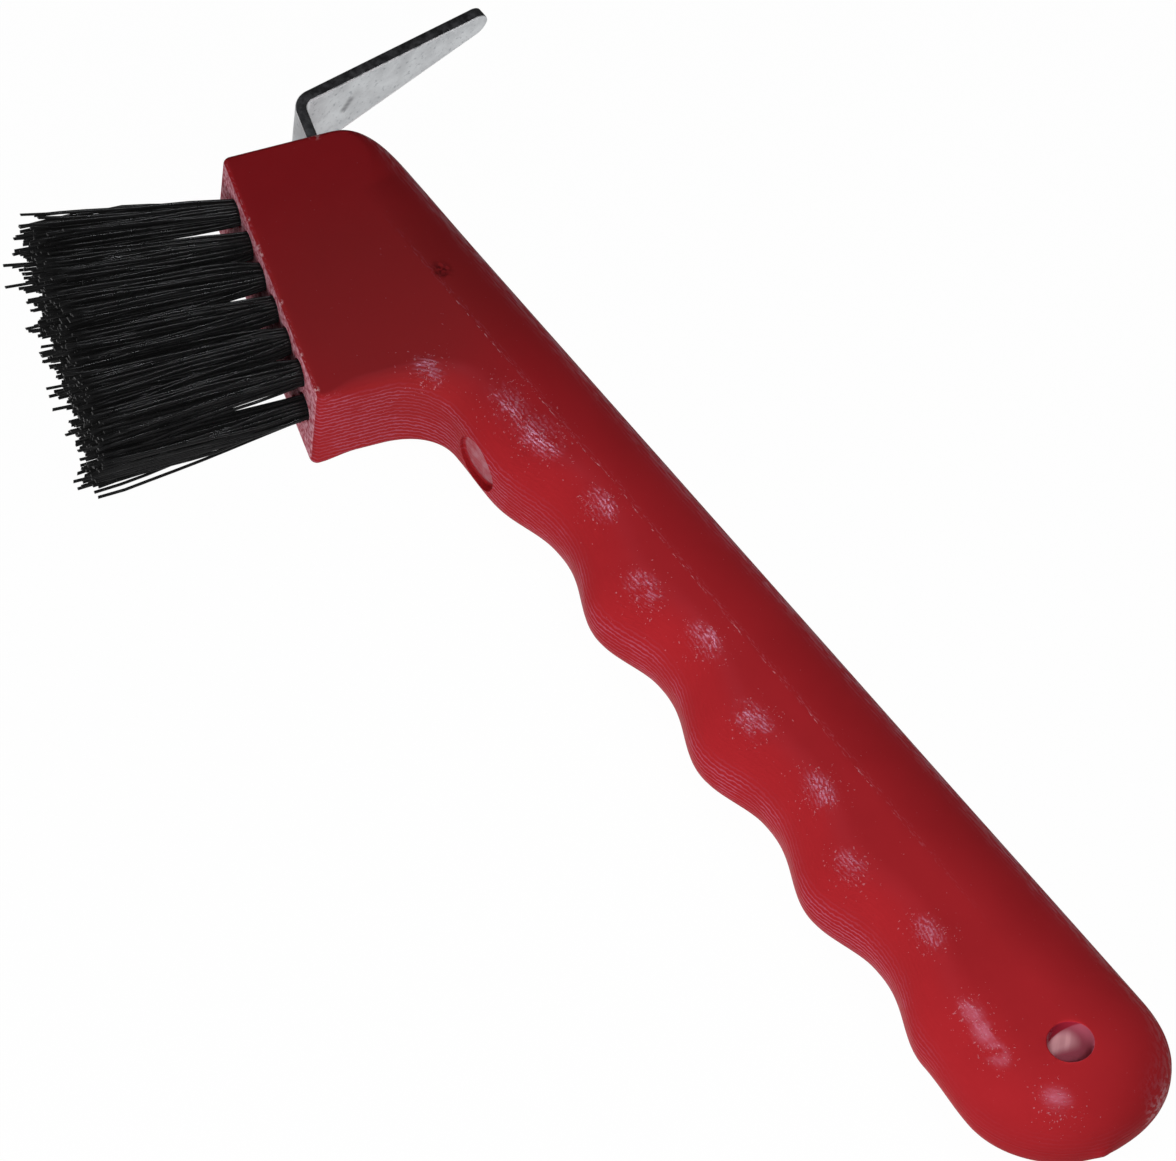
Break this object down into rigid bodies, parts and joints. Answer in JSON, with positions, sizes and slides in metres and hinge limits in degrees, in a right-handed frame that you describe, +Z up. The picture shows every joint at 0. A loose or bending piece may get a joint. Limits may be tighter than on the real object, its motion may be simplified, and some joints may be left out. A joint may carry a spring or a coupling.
{
  "type": "hoof pick",
  "caption": "Hoof pick: bent flat steel hook and stiff nylon brush set in a moulded plastic handle with finger grooves and a hanging hole.",
  "frame": {"origin": "centre of the whole pick's footprint, on the surface that it lies on", "axes": "+X along the grip towards the hanging hole, +Y out of the straight back of the grip, towards the hook's tip, +Z up through the thickness"},
  "size_m": [0.1888, 0.0828, 0.0155],
  "materials": {
    "handle_plastic": "red injection-moulded polypropylene, semi-gloss",
    "hook_steel": "sheared mild steel strip, dull zinc plating",
    "bristle_nylon": "black extruded nylon filament, slightly glossy",
    "staple_wire": "bright flat staple wire"
  },
  "bodies": {
    "root": {"handle": "handle_plastic", "hook": "hook_steel", "bristle_row_near": "bristle_nylon", "bristle_row_middle": "bristle_nylon", "bristle_row_far": "bristle_nylon", "anchor_01": "staple_wire", "anchor_02": "staple_wire", "anchor_03": "staple_wire", "anchor_04": "staple_wire", "anchor_05": "staple_wire", "anchor_06": "staple_wire", "anchor_07": "staple_wire", "anchor_08": "staple_wire", "anchor_09": "staple_wire", "anchor_10": "staple_wire", "anchor_11": "staple_wire", "anchor_12": "staple_wire", "anchor_13": "staple_wire", "anchor_14": "staple_wire", "anchor_15": "staple_wire", "anchor_16": "staple_wire", "anchor_17": "staple_wire", "anchor_18": "staple_wire", "anchor_19": "staple_wire"}
  },
  "joints": []
}
